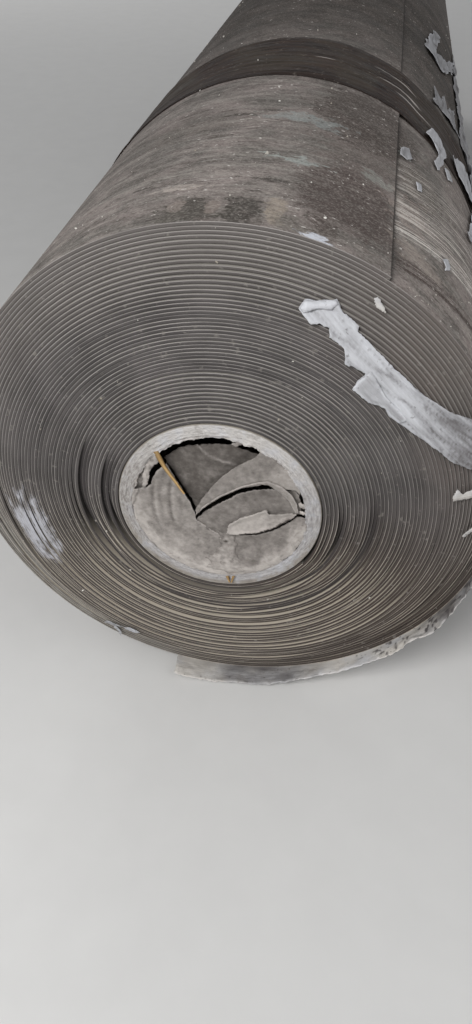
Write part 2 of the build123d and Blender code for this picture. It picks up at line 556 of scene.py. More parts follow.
def make_wound_sheet(finish):
    sizes = {
        "Outer radius": ROLL_RADIUS,
        "Pitch": TURN_PITCH,
        "Thickness": SHEET_THICKNESS,
        "Width": SHEET_WIDTH,
        "Turns": TURNS,
    }
    tree, inputs, values = geometry_tree("wound sheet", sizes)
    runs = []
    # from turn, to turn, points along it, cuts across it: the outside is a run of its own
    stretches = ((inputs["Turns"], OUTSIDE_TURNS, 5600, 0), (OUTSIDE_TURNS, 0.0, 190, 3))
    for first, last, points, slices in stretches:
        run, turn, angle, radius, across = sheet_run(tree, inputs, first, last, points, slices)
        out = slid_out(tree, turn, angle, radius)
        shifted = tree.vector(0.0, SHEET_WIDTH / 2 + RIM_Y - out, 0.0)
        run = tree.geo("SetPosition", {"Geometry": run, "Offset": shifted})
        for name, value in (("turn", turn), ("across", across)):
            stored = {"Geometry": run, "Name": name, "Value": value}
            run = tree.geo("StoreNamedAttribute", stored, data_type="FLOAT", domain="POINT")
        runs.append(run)
    sheet = grown("wound_sheet", tree, tree.together(runs), values, finish)
    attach(sheet, "root")
    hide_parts("membrane")


# Stains on the outside: angle, depth, half size round, half size along, raggedness, strength, colour
STAINS = [
    (20.5, 0.050, 0.031, 0.046, 0.35, 0.9, (72, 62, 59)),
    (22, 0.110, 0.032, 0.046, 0.7, 0.65, (94, 84, 80)),
    (23, 0.158, 0.040, 0.056, 0.5, 0.85, (66, 58, 54)),
    (27, 0.030, 0.016, 0.022, 1.0, 0.6, (70, 61, 58)),
    (17, 0.012, 0.009, 0.009, 0.9, 0.75, (64, 56, 52)),
    (2.6, 0.012, 0.011, 0.018, 0.7, 0.95, (58, 54, 50)),
    (-6.8, 0.010, 0.017, 0.017, 0.7, 0.9, (64, 60, 55)),
    (-3.0, 0.014, 0.004, 0.010, 0.5, 0.6, (146, 134, 127)),
    (-9.8, 0.016, 0.004, 0.008, 0.5, 0.6, (146, 134, 127)),
    (-11, 0.006, 0.012, 0.006, 1.1, 0.6, (92, 88, 82)),
    (7.8, 0.016, 0.005, 0.016, 0.6, 0.75, (150, 139, 126)),
    (11, 0.009, 0.008, 0.009, 1.1, 0.6, (88, 84, 78)),
    (16.6, 0.002, 0.007, 0.004, 0.9, 1.0, (192, 195, 203)),
    (-11, 0.036, 0.012, 0.004, 0.9, 0.7, (168, 158, 150)),
    (7.5, 0.073, 0.014, 0.006, 1.5, 0.8, (150, 156, 152)),
    (8, 0.130, 0.018, 0.008, 1.5, 0.7, (142, 147, 145)),
    (27, 0.085, 0.012, 0.007, 1.4, 0.7, (138, 140, 134)),
    (6, 0.046, 0.010, 0.0025, 1.2, 0.8, (56, 50, 47)),
    (-7, 0.130, 0.008, 0.003, 1.2, 0.85, (54, 49, 45)),
    (0, 0.137, 0.006, 0.0025, 1.2, 0.8, (54, 49, 45)),
    (-10, 0.098, 0.009, 0.004, 1.4, 0.7, (70, 64, 59)),
    (-20, 0.120, 0.030, 0.020, 1.4, 0.5, (92, 86, 80)),
    (35, 0.080, 0.014, 0.030, 1.2, 0.7, (142, 130, 123)),
    (40, 0.120, 0.022, 0.026, 1.2, 0.6, (98, 92, 84)),
    (33, 0.146, 0.005, 0.008, 0.8, 0.9, (172, 174, 168)),
    (38, 0.037, 0.020, 0.010, 0.8, 0.5, (146, 136, 127)),
]
# Bundles of fine light or dark streaks: from angle, to angle, depth, slope, width, how dense, colour
STREAKS = [
    (31.0, 80.0, 0.050, 0.0008, 0.006, 0.7, (214, 209, 202)),
    (31.0, 85.0, 0.065, 0.0008, 0.024, 0.62, (206, 199, 191)),
    (31.0, 90.0, 0.096, 0.0011, 0.046, 0.52, (190, 183, 176)),
    (33.0, 80.0, 0.080, 0.0009, 0.054, 0.42, (70, 64, 60)),
    # the dark streak below, starting at the lap's step, is a painted shadow band
    (31.5, 60.0, 0.020, 0.0006, 0.007, 1.0, (68, 58, 54)),
    (-45.0, 10.0, 0.060, 0.0003, 0.060, 0.2, (160, 156, 150)),
    (8.0, 30.0, 0.184, -0.0001, 0.012, 0.5, (70, 60, 56)),
]


def sheet_finish():
    """Dusty grey sheet. A turn's edge is dark grey with a light line at its outer side."""
    made, tree, shader = material("pvc sheet", 0.72, 0.2)
    x, y, z = tree.parts(tree.place())
    x = x - ROLL_X
    z = z - ROLL_HEIGHT
    depth = y - RIM_Y
    radius = (x * x + z * z).root()
    right, up = x / radius, z / radius
    angle = x.arctan2(z)
    degrees = angle * DEGREES
    turn, across = tree.attribute("turn"), tree.attribute("across")
    _, facing, upwards = tree.parts(tree.node("ShaderNodeNewGeometry", output="Normal"))
    end_face = facing.absolute().rises(0.45, 0.75)
    here = tree.vector(x, y, z)
    round_place = tree.vector(angle.cos() * 1.4, angle.sin() * 1.4, turn * 0.37)
    grain = tree.noise(here, 900.0)
    cloud = tree.noise(here, 38.0, 4.0)

    # the ends
    lower = up.rises(-0.55, 0.25, 1.0, 0.0)
    brown = lower * right.rises(-0.2, 0.8)
    fade = tree.noise(round_place, 2.6).rises(0.3, 0.62, 0.4, 1.0)
    every_other = (turn * (math.pi / 1.1)).sin().rises(-0.2, 0.5, 0.25, 1.0)
    fade = fade * (1 - brown * radius.rises(0.08, 0.1) * (1 - every_other))
    upper_right = right.rises(0.2, 0.75) * up.rises(-0.1, 0.35) * radius.rises(0.076, 0.1)
    fade = fade * (1 - upper_right * tree.noise(round_place, 5.0).rises(0.3, 0.6, 0.15, 0.6))
    line = (across + lower * 0.14).rises(0.79, 0.88) * (1 - across.rises(0.97, 1.0)) * fade
    edge = tree.blend(cloud.rises(0.3, 0.7), (64, 61, 60), (88, 84, 83))
    by_turn = tree.pattern(turn * 0.9, angle.cos() * 0.5, angle.sin() * 0.5, 2.0)
    edge = edge.coats((by_turn, 0.35, 0.65, 0.22, (112, 108, 105)))
    # lighter towards the rim: partly dust, partly painted light on the outer bevel
    edge = edge.coat(radius.rises(0.088, 0.116) * 0.46, (117, 111, 107))
    edge = edge.coat(upper_right * cloud.rises(0.35, 0.65, 0.2, 0.7), (100, 91, 86))
    edge = edge.coat(lower * 0.7, (74, 67, 62))
    edge = edge.coat(brown * 0.7, (66, 56, 51))
    ends = edge.coat(line, tree.blend(lower, (154, 149, 146), (184, 175, 162)))
    # painted shade in the gap between the turns, on the inner side of each turn's edge, stronger towards
    # the bottom
    ends = ends.coat((1 - across.rises(0.02, 0.12)) * (lower * 0.45 + 0.35), (40, 37, 35))
    # painted shade on the edges of the sunk turns, where they lie back in the face
    for *where, _ in SUNK_TURNS:
        ends = ends.coat(sunk_there(turn, degrees * -1, *where) * 0.8, (62, 58, 58))
    ends = ends.coats((tree.noise(here, 330.0, 2.0), 0.63, 0.74, 0.5, (138, 133, 127)))
    scuff_grain = tree.pattern(angle * 9, radius * 420, y * 200, 5.0, 0.7)
    ragged = (tree.pattern(angle * 12, radius * 160) - 0.5) * 2
    scuff = (degrees + ragged * 12).within(-114.0, -99.0, 6.0)
    scuff = scuff * (radius + ragged * 0.006).within(0.086, 0.097, 0.004)
    scuff = scuff * scuff_grain.rises(0.34, 0.56) * (0 - facing).rises(0.2, 0.4)
    ends = ends.coat(scuff * 0.9, (186, 186, 192))
    pale = lower * radius.rises(0.1, 0.112) * right.rises(0.0, -0.5) * scuff_grain.rises(0.3, 0.6)
    ends = ends.coat(pale * 0.45, (162, 160, 154))

    # the outside
    along = angle * ROLL_RADIUS
    streak = tree.pattern(along * 11, depth * 130, 0.0, 5.0, 0.65)
    fine = tree.pattern(along * 45, depth * 900, 4.0, 4.0, 0.7)
    patch = tree.pattern(along * 30, depth * 36, 3.0, 6.0, 0.68, 0.4)
    blotch = tree.pattern(along * 115, depth * 270, 1.0, 5.0, 0.72)
    stroke = tree.pattern(along * 60, depth * 300, 7.0, 4.0, 0.7)
    mottle = tree.pattern(along * 125, depth * 170, 9.0, 5.0, 0.65, 0.5)
    outside = tree.blend(patch.rises(0.36, 0.64), (92, 88, 84), (132, 122, 118)).coats(
        (streak, 0.45, 0.72, 0.6, (154, 149, 142)),
        (streak, 0.44, 0.24, 0.7, (84, 77, 73)),
        (blotch, 0.49, 0.3, 0.65, (80, 73, 68)),
        (blotch, 0.54, 0.7, 0.5, (152, 146, 138)),
        (stroke, 0.55, 0.72, 0.5, (146, 140, 132)),
        (stroke, 0.44, 0.3, 0.6, (80, 72, 68)),
        (stroke, 0.4, 0.345, 0.65, (58, 52, 49)),
        (mottle, 0.54, 0.64, 0.5, (148, 140, 134)),
        (mottle, 0.45, 0.34, 0.55, (82, 75, 71)),
        (fine, 0.56, 0.72, 0.45, (168, 164, 158)),
    )
    for spot_angle, spot_depth, wide, deep, ragged, strength, colour in STAINS:
        off = (along - math.radians(spot_angle) * ROLL_RADIUS) / wide
        down = (depth - spot_depth) / deep
        size = 1 - (off * off + down * down).root()
        for pattern, share in ((patch, 1.6), (mottle, 3.2), (stroke, 1.4)):
            size = size + (pattern - 0.5) * (share * ragged)
        worn = size.rises(0.12, 0.42) * blotch.rises(0.36, 0.56, 0.5, 1.0)
        outside = outside.coat(worn * strength, colour)
    for start, stop, at_depth, slope, wide, share, colour in STREAKS:
        run = depth - at_depth - (degrees - start) * slope
        down = run + (streak - 0.5) * wide
        soft = 0.5 if start > LAP_DEGREES else 8.0
        there = degrees.rises(start - soft, start + soft) * degrees.rises(stop - 8, stop + 8, 1.0, 0.0)
        there = there * down.within(-wide / 2, wide / 2, wide / 2)
        lines = tree.pattern(along * 22, run * 750, start, 5.0, 0.75)
        outside = outside.coat(there * lines.rises(0.6 - 0.16 * share, 0.68 - 0.16 * share), colour)
    # darker further along the roll: partly dirt, partly painted shade where the lamp's light falls off
    far = depth.rises(0.16, 0.42) * depth.rises(0.5, 0.8, 1.0, 0.45)
    outside = outside.coat(far * 0.88, tree.blend(patch.rises(0.4, 0.6), (48, 43, 39), (68, 61, 56)))
    under_band = depth.within(BAND_NEAR + 0.002, BAND_FAR - 0.002, 0.002)
    outside = outside.coat(under_band * 0.8, (54, 46, 42))
    fleck = tree.pattern(along * 300, depth * 420)
    outside = outside.coats(
        (fleck + (patch - 0.5) * 0.32, 0.66, 0.715, 0.9, (196, 191, 185)),
        (fleck, 0.37, 0.3, 0.7, (50, 45, 42)),
        (grain, 0.45, 0.7, 0.3, (162, 156, 149)),
        (grain, 0.52, 0.3, 0.3, (74, 68, 64)),
    )
    by_lap = degrees - LAP_DEGREES
    # painted shadow at the foot of the lap's step, on the turn below, and painted shade along the cut end
    # of the last turn
    lap_step_shadow = by_lap.rises(0.0, 0.9, 0.85, 0.0) * by_lap.rises(-0.02, 0.02)
    lap_edge_shade = by_lap.rises(-0.35, -0.1, 0.0, 0.8) * by_lap.rises(0.0, 0.02, 1.0, 0.0)
    outside = outside.coat(lap_step_shadow.most(lap_edge_shade), (40, 36, 33))

    # between the turns the dark underside and the light top show where one stands proud
    hidden = tree.blend(across.rises(0.4, 0.6), (44, 41, 40), (126, 122, 116))
    dusty = upwards.rises(0.15, 0.6) * lower * (1 - across.rises(0.4, 0.6))
    dusty = dusty * radius.rises(0.0465, 0.054, 0.1, 1.0)
    hidden = hidden.coat(dusty * 0.9, (174, 165, 151))
    last = (1 - turn.rises(1.005, 1.02)) * across.rises(0.93, 0.97)
    colour = hidden.coat(last, outside).coat(end_face, ends)
    height = grain * 0.5 + (blotch + fine * 0.6) * (1 - end_face)
    feed(tree, shader, colour, cloud.rises(0.3, 0.7, 0.62, 0.82), height, 0.5, 0.0007)
    return made


# The core


def core_finish():
    made, tree, shader = material("core cardboard", 0.85, 0.2)
    x, y, z = tree.parts(tree.place())
    z = z - CORE_HEIGHT
    radius = (x * x + z * z).root()
    layers = tree.pattern(x.arctan2(z) * 11, radius * 1100, y * 30, 5.0, 0.72)
    here = tree.vector(x, y, z)
    fibre = tree.noise(here, 700.0, 4.0, 0.7)
    tuft = tree.noise(here, 170.0, 4.0, 0.6)
    colour = tree.blend(layers.rises(0.32, 0.66), (136, 131, 127), (196, 192, 189)).coats(
        (z / radius, 0.1, 1.0, 0.45, (222, 218, 214)),
        ((x - z) / radius, -0.4, 1.2, 0.3, (158, 157, 161)),
    )
    colour = colour.coat((x / radius).rises(-1.0, -0.2, 0.2, 0.0), (126, 120, 115))
    low = (z / radius).rises(-0.7, 0.2, 1.0, 0.0)
    colour = colour.coat(low * radius.rises(0.0402, 0.0428) * 0.65, (138, 129, 116))
    colour = colour.coat(low * radius.rises(0.0402, 0.0428, 0.22, 0.0), (184, 182, 184))
    colour = colour.coats(
        (tuft, 0.5, 0.7, 0.35, (196, 198, 206)),
        (tuft, 0.46, 0.3, 0.35, (122, 115, 109)),
        (fibre, 0.35, 0.22, 0.65, (98, 91, 85)),
    )
    colour = colour.coat(radius.rises(0.0434, 0.0439) * 0.7, (120, 110, 92))
    colour = colour.coat((y - CORE_FRONT).rises(0.0015, 0.012) * 0.8, (92, 82, 70))
    feed(tree, shader, colour, None, layers + fibre * 0.6, 0.7, 0.0009)
    return made


# Radii of the tube: its outside, its end face's outer edge, its bore, and that without the inner ply
TUBE_OUTSIDE, FACE_OUTSIDE, BORE, BARE_BORE = 44, 43.4, 38, 38.9
PLY_THICKNESS = 1.1
FACE_ROWS = 16


def make_core_tube(finish):
    columns = 300
    far = SHEET_WIDTH / MM
    outside = ((TUBE_OUTSIDE, far), (TUBE_OUTSIDE, 0.7), (43.8, 0.25))
    inside = ((BARE_BORE, 3.2), (BARE_BORE, 14), (BORE, 14.5), (BORE, far))

    def place(row, column):
        angle = FULL_TURN * column / columns
        c, s = math.cos(angle) * 4, math.sin(angle) * 4
        upper = smooth((math.cos(angle - 0.2) + 0.3) / 0.6)
        lip = 38.3 - 1.5 * upper + 0.3 * crumple(c, s, 0.4, 5) + 0.4 * crumple(c, s, 3, 9)
        lip += 0.5 * upper * crumple(c, s, 17, 3)
        on_face = row - len(outside)
        if on_face < 0:
            radius, depth = outside[row]
        elif on_face < FACE_ROWS:
            share = on_face / (FACE_ROWS - 1)
            radius = FACE_OUTSIDE + (lip - FACE_OUTSIDE) * share
            ply = int((TUBE_OUTSIDE - radius) / PLY_THICKNESS)
            depth = 0.35 * abs(crumple(c, s, 0.6, ply * 3.7)) * ply * 0.6
            depth += 0.22 * crumple(c, s, 4, ply * 5.1) + 0.16 * crumple(c, s, 14, radius * 2.4)
            depth += 1.3 * (upper + 0.08) * smooth((share - 0.75) / 0.25) * (0.4 + crumple(c, s, 1.3, 2))
            depth = max(depth, -0.1)
        else:
            radius, depth = ((lip + 0.1, 2.4), *inside)[on_face - FACE_ROWS]
        return (
            radius * MM * math.sin(angle),
            CORE_FRONT + depth * MM,
            CORE_HEIGHT + radius * MM * math.cos(angle),
        )

    rows = len(outside) + FACE_ROWS + 1 + len(inside)
    tube = closed_shell("core_tube_worn", rows, columns, place, finish)
    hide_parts("core_tube")


# White film older than the rest: the patches with these seeds, which are the small scraps and the tail
AGED_PATCHES = (23.5, 39.0)


def toned_finish(name, dark, light, roughness, grain_scale, stretch, bump, specks, mottle=0.8, aged=None):
    """Paper or film that goes from dark to light with its tone, with a grain and dirt specks."""
    made, tree, shader = material(name, roughness)
    along, across, patch = tree.parts(tree.attribute("grain", "Vector"))
    flat = tree.vector(along, across, patch)
    grain = tree.noise(tree.vector(along * stretch, across, patch), grain_scale * MM, 5.0, 0.7)
    less_stretched = tree.vector(along * (stretch + 1) / 2, across, patch)
    cloud = tree.noise(less_stretched, grain_scale * 0.15 * MM, 4.0, 0.6)
    shade = tree.attribute("tone") + (grain - 0.5) * mottle + (cloud - 0.5) * (mottle * 0.6)
    if aged:
        old = tree.noise(flat, grain_scale * 0.06 * MM).rises(0.35, 0.6, 0.3, 1.0)
        light = tree.blend(old * patch.within(*AGED_PATCHES, 0.3), light, aged)
    dirt = tree.noise(flat, grain_scale * 0.8 * MM)
    colour = tree.blend(shade.rises(0.0, 1.0), dark, light).coats((dirt, 0.36, 0.28, specks, (70, 62, 56)))
    uneven = grain.rises(0.3, 0.7, roughness - 0.1, roughness + 0.1)
    feed(tree, shader, colour, uneven, grain + cloud, bump, 0.001)
    return made


# The torn inner ply: outlines as they show in the plane of the core's end, X right and Z up
LEFT_PLY = [
    (-21.8, 22.1), (-19.4, 17.3), (-15.2, 8.4), (-12.6, 3.3), (-11.7, 0.0), (-10.6, -2.8), (-10.0, -6.6),
    (-3.6, -11.5), (3.1, -15.1), (2.4, -18.8), (5.2, -21.1), (7.9, -29.1), (9.5, -34.0), (9.8, -37.2),
    (0, -38.4), (-12, -36.5), (-23, -30.7), (-31.5, -22), (-37, -10.3), (-38.3, 2), (-36.8, 7.0),
    (-33.0, 8.0), (-30.2, 9.6), (-28.7, 11.0), (-28.0, 14.4), (-26.3, 17.6), (-24.6, 19.6), (-23.0, 21.0),
]
PLUG = [
    (-1.6, -11.0), (3.2, -13.7), (7.2, -13.6), (6.6, -16.2), (7.9, -19.3), (7.0, -23.0), (9.4, -28.5),
    (8.8, -31.0), (12.0, -34.4), (4.4, -36.4), (-6.0, -34.3), (-4.0, -31.0), (-6.6, -28.7), (-2.8, -26.4),
    (-1.6, -22.4), (0.8, -20.4), (0.2, -17.6), (1.4, -15.4),
]
TOP_PLY = [
    (-22.5, 25.6), (-18.3, 17.7), (-14.1, 9.3), (-11.2, 4.2), (-9.9, 0.6), (0, 6.5), (8, 14.5), (16, 21.5),
    (22, 24.5), (24.5, 28.5), (17.5, 30.8), (12.0, 33.0), (9.7, 33.3), (7.9, 34.4), (4.7, 35.1),
    (-0.2, 34.7), (-5.9, 34.0), (-11.6, 33.0), (-15.4, 31.6), (-18.7, 29.1), (-21.6, 26.8),
]
PETAL = [
    (-10.1, -0.6), (-7.3, 5.3), (-3.9, 10.7), (1.9, 18.7), (8.3, 24.8), (14.8, 29.4), (17.5, 33.0),
    (24, 29.6), (30.0, 23.6), (34.5, 16.5), (34.2, 12.5), (32.4, 14.8), (28.7, 14.7), (23.0, 16.5),
    (19.8, 16.6), (9.6, 13.2), (0.6, 7.1), (-6.8, 0.3), (-10.2, -4.0),
]
LOWER_PLY = [
    (-10.3, -6.6), (-6.1, -1.4), (-0.8, 3.1), (8.4, 9.9), (14.8, 12.9), (22.4, 14.4), (27.0, 13.8),
    (32.4, 15.0), (34.3, 10.4), (35.0, 5.8), (35.2, 2.4), (33.2, 2.2), (28.2, -2.8), (23.2, -6.9),
    (16.6, -10.4), (8.6, -12.5), (8.6, -13.1), (16.8, -11.6), (23.6, -8.2), (28.8, -4.1), (33.8, 1.1),
    (37.0, 0.5), (38.0, -6), (36.8, -11.5), (32.2, -21), (24.5, -29.5), (14.5, -35.6), (7, -37.7), (5, -28),
    (1, -21), (-1, -15.5), (-6, -11),
]
LIGHT_PETAL = [
    (3.2, -12.8), (4.2, -8.2), (6.5, -5.7), (9.9, -3.1), (16.4, 0.3), (20.3, 2.5), (21.7, 0.2), (31.4, 2.3),
    (33.3, 1.7), (28.3, -3.2), (23.2, -7.4), (16.6, -10.9), (7.9, -13.0),
]
PETAL_CURL = [
    (-8.8, -2.6), (-6.8, 0.4), (0.6, 7.2), (9.6, 13.3), (17.5, 16.3), (21.3, 16.1), (25.8, 12.9),
    (29.8, 8.8), (32.9, 2.5), (34.0, 2.9), (33.2, 7.2), (30.8, 12.2), (26.6, 16.0), (20.6, 18.4),
    (16.5, 17.3), (9.3, 14.2), (0.2, 8.1), (-7.1, 1.1),
]
# Torn fibres between the tube and the left ply, and across the gap at the right: outline, tone, how deep
FIBRES = [
    ([(-37.8, 3.0), (-37.0, 12.0), (-34.0, 18.6), (-31.4, 22.4), (-31.2, 18.0),
      (-32.4, 12.0), (-33.2, 7.0), (-35.0, 4.0)], 0.42, 2.4),
    ([(-38.6, 2.0), (-37.8, 9.0), (-36.2, 13.8), (-33.4, 19.4), (-30.3, 24.4),
      (-27.2, 27.6), (-26.6, 26.6), (-29.7, 23.6), (-32.2, 19.0), (-34.4, 13.6),
      (-35.8, 8.6), (-37.2, 4.0)], 0.72, 0.3),
    ([(-33.2, 7.4), (-32.6, 12.2), (-32.3, 16.2), (-31.0, 20.2), (-28.2, 24.9),
      (-25.7, 26.4), (-24.4, 24.4), (-25.0, 22.6), (-26.6, 21.3), (-28.2, 19.2),
      (-29.7, 15.8), (-30.3, 12.0), (-31.4, 8.6)], 0.6, 0.9),
    ([(33.8, 8.2), (35.0, 8.6), (37.4, 7.4), (36.8, 5.6), (34.8, 5.8)], 0.85, 0.5),
    ([(34.4, 4.0), (35.8, 4.2), (37.6, 3.2), (36.4, 2.0), (34.8, 2.4)], 0.85, 0.5),
    ([(5.2, 35.0), (6.4, 36.0), (8.8, 37.2), (9.8, 35.6), (8.4, 34.6), (6.6, 34.6)], 0.6, 0.8),
]
# Upright folds of the left ply: where across, how strong, top and bottom
FOLDS = [(-28.6, 0.8, 17, -17), (-25.2, 0.45, 12, -8), (-21.3, 1.0, 17, -14), (-16.4, 0.4, 7, -12)]


def shown_at(u, v, depth):
    """The place this far behind the core's end that shows at (u, v) of its mouth from the photo's side."""
    front = Vector((u * MM, CORE_FRONT, CORE_HEIGHT + v * MM))
    return front + (front - EYE) * (depth * MM / (front.y - EYE.y))


def set_in(depth_of):
    """The place on the ply for a place of the outline, from how deep it lies."""
    return lambda u, v, far: shown_at(u, v, max(depth_of(u, v, far), 0.12))


def ply_depth(u, v):
    return 4.6 - 4.3 * smooth((math.hypot(u, v) - 22) / 15.5) + 0.35 * crumple(u, v, 0.08, 1)


def whiter(u, v):
    """Where the ply is scuffed white, towards the rim of the mouth below."""
    ragged = 2.6 * crumple(u, v, 0.12, 31) + 1.2 * crumple(u, v, 0.5, 32)
    streak = 0.8 + 0.6 * rough(math.atan2(u, v) * 6, math.hypot(u, v) * 0.9, 33)
    return smooth((math.hypot(u, v) + ragged - 30.5) / 5) * smooth((6 - v) / 16) * streak


def creases(u, v):
    """How deep a place lies in the left ply's folds, and how high beside them."""
    low = high = 0.0
    for at, strength, top, bottom in FOLDS:
        off = u - at - 0.09 * max(v - 4, 0.0) - 0.014 * min(v, 0.0) ** 2 + 0.4 * rough(v * 0.12, at, 35)
        reach = strength * smooth((v - bottom) / 9) * smooth((top - v) / 5)
        low += reach * hump(off, 0.6)
        high += reach * hump(off - 1.5, 1.1)
    return low, high


def make_core_paper(finish):
    def left(u, v, far):
        curl = by_edge(far, 5) * smooth((v + 6) / 6) * smooth((u + 30) / 8)
        upper = 1.6 * smooth((v - 4) / 14) * smooth((-u - 20) / 8)
        low, high = creases(u, v)
        return ply_depth(u, v) + upper + 0.5 * low - 0.4 * high - 1.0 * curl

    def left_tone(u, v, far):
        stains = 0.12 * crumple(u, v, 0.12, 21) + 0.08 * crumple(u, v, 0.5, 22)
        seams = hump(u + 34.3 - 0.35 * (v - 8), 0.35) * smooth((v + 12) / 8)
        low, high = creases(u, v)
        # painted shade in the creases and painted light beside them
        folds = 0.1 * high - 0.16 * low
        return 0.48 + folds - 0.3 * seams + stains + 0.34 * whiter(u, v) + 0.15 * by_edge(far, 0.5)

    def top_fold(u, v):
        bend = v - 25 - 7.8 * math.exp(-(max(u, -9.0) + 7.8) / 5.5)
        return hump(bend, 0.55) * smooth((u + 11) / 3) * smooth((9 - u) / 5)

    def top(u, v, far):
        return 6.4 - 0.9 * top_fold(u, v) + 0.4 * crumple(u, v, 0.15, 4)

    def top_tone(u, v, far):
        # its low base tone is painted shade, as it lies deep under the tube's upper lip, and the fold's
        # lighter line is a painted highlight
        stain = hump(u + 9.2, 1.6, v - 28, 3.5)
        return 0.23 + 0.24 * top_fold(u, v) - 0.14 * stain + 0.08 * crumple(u, v, 0.15, 24)

    def petal(u, v, far):
        outwards = smooth((math.hypot(u, v) - 14) / 20)
        return 4.0 - 3.2 * outwards + 0.3 * crumple(u, v, 0.15, 5)

    def petal_tone(u, v, far):
        return 0.44 + 0.16 * smooth(1 - (v - 0.75 * u - 2) / 7) + 0.08 * crumple(u, v, 0.3, 25)

    def petal_curl(u, v, far):
        return petal(u, v, far) - 0.7 - 0.4 * smooth(far / 0.5)

    def curl_tone(u, v, far):
        return 0.52 + 0.2 * by_edge(far, 0.6)

    def lower(u, v, far):
        gap = smooth(1 - abs(v - 0.5 * u - 2) / 10)
        right = smooth((u - 22) / 8) * smooth((v + 4) / 6)
        return ply_depth(u, v) + 1.4 * gap + 2.2 * right + 0.25 * crumple(u, v, 0.2, 8)

    def lower_tone(u, v, far):
        return 0.37 + 0.1 * crumple(u, v, 0.2, 23) + 0.36 * whiter(u, v) + 0.15 * by_edge(far, 0.5)

    def light(u, v, far):
        return lower(u, v, far) - 1.3 - 0.9 * by_edge(far, 2.0) + 0.3 * crumple(u, v, 0.3, 3)

    def light_tone(u, v, far):
        middle = 0.37 * (u - 16) - 5.4
        # painted shadow along the petal's lower edge, where it stands over the ply below
        under = by_edge(far, 0.5) * smooth((middle - v) / 2) * smooth((u - 7) / 3)
        return 0.74 - 0.16 * smooth((u - 19) / 4) - 1.1 * under + 0.1 * crumple(u, v, 0.6, 26)

    def plug(u, v, far):
        behind = min(left(u, v, 9), lower(u, v, 9))
        return behind - 0.15 - 0.7 * smooth(far / 3) + 0.3 * crumple(u, v, 0.4, 6)

    def plug_tone(u, v, far):
        # the small hole is not cut: it is painted dark, painted shade inside it
        hole_shade = hump(u - 2.9, 0.9, v + 17.3, 0.6)
        shade = 0.43 + 0.1 * smooth(far / 2.2) - 0.9 * hole_shade
        return shade + 0.24 * crumple(u, v, 0.4, 7) + 0.3 * whiter(u, v)

    def fibre(number, outline, shade, back):
        def depth(u, v, far):
            return back + 0.5 * crumple(u, v, 0.25, 2) + 0.4 * by_edge(far, 1.0)

        def tone(u, v, far):
            return shade + 0.35 * crumple(u, v, 0.4, 4)

        return outline, 0.5, 0.7, 60 + number, depth, tone

    # each one's outline, step, raggedness, seed, depth and tone
    plies = [
        (LEFT_PLY, 0.75, 0.5, 11, left, left_tone),
        (TOP_PLY, 0.8, 0.7, 12, top, top_tone),
        (PETAL, 0.75, 0.4, 13, petal, petal_tone),
        (PETAL_CURL, 0.6, 0.25, 17, petal_curl, curl_tone),
        (LOWER_PLY, 0.8, 0.6, 14, lower, lower_tone),
        (LIGHT_PETAL, 0.7, 0.6, 15, light, light_tone),
        (PLUG, 0.8, 1.2, 16, plug, plug_tone),
    ]
    plies += [fibre(number, *row) for number, row in enumerate(FIBRES)]
    patches = [torn_patch(*cut, set_in(depth), tone) for *cut, depth, tone in plies]
    paper = joined("core_paper_torn", patches, finish, 0.0004)
    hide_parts("core_paper")


# Splinters in the core's mouth: the line each follows, its half width, how deep its two ends lie
SPLINTERS = [
    ([(-26.0, 28.2), (-22.6, 20.4), (-18.4, 13.4), (-14.8, 7.2)], 1.15, 0.2, 1.2),
    ([(3.3, -38.4), (4.5, -42.4)], 0.7, -1.0, -1.2),
    ([(6.3, -38.0), (5.3, -42.4)], 0.7, -1.0, -1.2),
]


def make_splinter(finish):
    """A straw-coloured splinter that lies along the slit in the torn ply, and a split crumb of it below."""
    patches = []
    for points, wide, front, back in SPLINTERS:
        rows, faces = [], []
        for n, (u, v) in enumerate(points):
            share = n / (len(points) - 1)
            half = wide * (1.0 - 0.55 * share)
            depth = front + (back - front) * share
            for side, out in ((-half, 0), (0, -0.6), (half, 0), (0, 0.6)):
                rows.append(shown_at(u + side, v + side * 0.35, depth + out))
        for n in range(len(points) - 1):
            for k in range(4):
                a, b = n * 4, (n + 1) * 4
                faces.append([a + k, b + k, b + (k + 1) % 4, a + (k + 1) % 4])
        faces += [[3, 2, 1, 0], [len(rows) - 4 + k for k in range(4)]]
        tones = [0.35 + 0.3 * (i % 4 == 1) for i in range(len(rows))]
        patches.append((rows, faces, tones, [(i // 4 * 8, i % 4, 1) for i in range(len(rows))]))
    joined("splinter", patches, finish)


# The films

STRIP = [
    (30.7, 92.2), (32.7, 94.9), (36.6, 94.6), (43.9, 94.8), (46.4, 90.7), (49.5, 88.5), (52.5, 86.1),
    (52.2, 84.5), (59.9, 77.9), (66.8, 71.5), (79.8, 60.6), (87.9, 55.0), (99.4, 48.8), (106, 46),
    (112, 39), (115.5, 28), (113, 19), (109.5, 21.5), (103.0, 26.8), (93.1, 32.9), (82.5, 41.6),
    (73.3, 47.7), (70.3, 49.6), (66.4, 52.0), (64.6, 55.7), (58.5, 57.2), (52.5, 62.0), (54.0, 65.5),
    (56.1, 68.2), (56.4, 69.3), (51.7, 71.5), (50.4, 71.4), (49.0, 72.2), (48.6, 75.5), (48.1, 78.2),
    (45, 80.4), (42.5, 82.0), (42.1, 85.4), (40.2, 85.8), (38.5, 87.1), (35.5, 87.0), (33.4, 89.0),
]
TIP_FOLD = [
    (30.9, 92.4), (32.8, 94.9), (36.6, 94.6), (43.7, 94.8), (44.6, 93.2), (42.4, 91.6), (36.8, 91.8),
    (32.6, 90.6),
]
